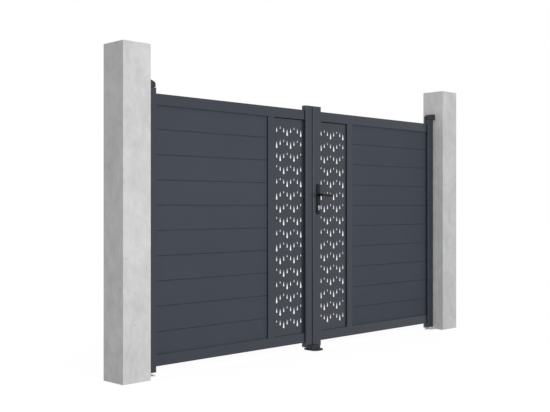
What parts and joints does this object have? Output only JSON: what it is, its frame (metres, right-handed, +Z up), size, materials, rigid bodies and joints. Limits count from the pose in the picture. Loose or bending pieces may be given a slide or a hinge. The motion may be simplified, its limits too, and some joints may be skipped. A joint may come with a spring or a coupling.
{
  "type": "double-leaf swing gate with pillars",
  "caption": "Boarded aluminium double swing gate with teardrop-perforated panels at the meeting stiles, lever lock, pivots, floor stop and square concrete pillars.",
  "frame": {"origin": "centre of the left pillar's foot, on the ground", "axes": "+X along the gate to the right pillar, +Y from the street side to the yard, +Z up"},
  "size_m": [3.43, 0.2, 2],
  "materials": {
    "concrete": "fair-faced, cast",
    "anthracite_coat": "matt powder coat",
    "cap_plastic": "moulded",
    "black_casting": "satin black coat",
    "zinc_steel": "zinc plated",
    "black_handle": "black anodised",
    "nickel": "satin nickel"
  },
  "bodies": {
    "root": {"left_pillar": "concrete", "right_pillar": "concrete", "left_top_bracket": "black_casting", "right_top_bracket": "black_casting", "left_top_pin": "zinc_steel", "right_top_pin": "zinc_steel", "left_ground_pivot": "zinc_steel", "right_ground_pivot": "zinc_steel", "floor_stop": "black_casting"},
    "left_leaf": {"left_hinge_stile": "anthracite_coat", "left_hinge_stile_caps": "cap_plastic", "left_meeting_stile": "anthracite_coat", "left_meeting_stile_caps": "cap_plastic", "left_bottom_rail": "anthracite_coat", "left_top_rail": "anthracite_coat", "left_mullion": "anthracite_coat", "left_boards": "anthracite_coat", "left_drop_panel": "anthracite_coat", "keep_plate": "zinc_steel"},
    "right_leaf": {"right_hinge_stile": "anthracite_coat", "right_hinge_stile_caps": "cap_plastic", "right_meeting_stile": "anthracite_coat", "right_meeting_stile_caps": "cap_plastic", "right_bottom_rail": "anthracite_coat", "right_top_rail": "anthracite_coat", "right_mullion": "anthracite_coat", "right_boards": "anthracite_coat", "right_drop_panel": "anthracite_coat", "mortise_lock": "zinc_steel", "lock_cylinder": "nickel", "street_lock_plate": "black_handle", "yard_lock_plate": "black_handle"},
    "lever": {"street_lever": "black_handle", "yard_lever": "black_handle", "lever_spindle": "zinc_steel"}
  },
  "joints": [
    {"name": "left_leaf_swing", "type": "hinge", "parent": "root", "child": "left_leaf", "pos_m": [0.143, 0, 0], "axis": [0, 0, 1], "range_deg": [0, 90]},
    {"name": "right_leaf_swing", "type": "hinge", "parent": "root", "child": "right_leaf", "pos_m": [3.087, 0, 0], "axis": [0, 0, -1], "range_deg": [0, 90]},
    {"name": "lever_turn", "type": "hinge", "parent": "right_leaf", "child": "lever", "pos_m": [1.661, 0, 1.117], "axis": [0, 1, 0], "range_deg": [0, 40], "stiffness_Nm_per_rad": 1.5, "springref_deg": -28.65}
  ]
}
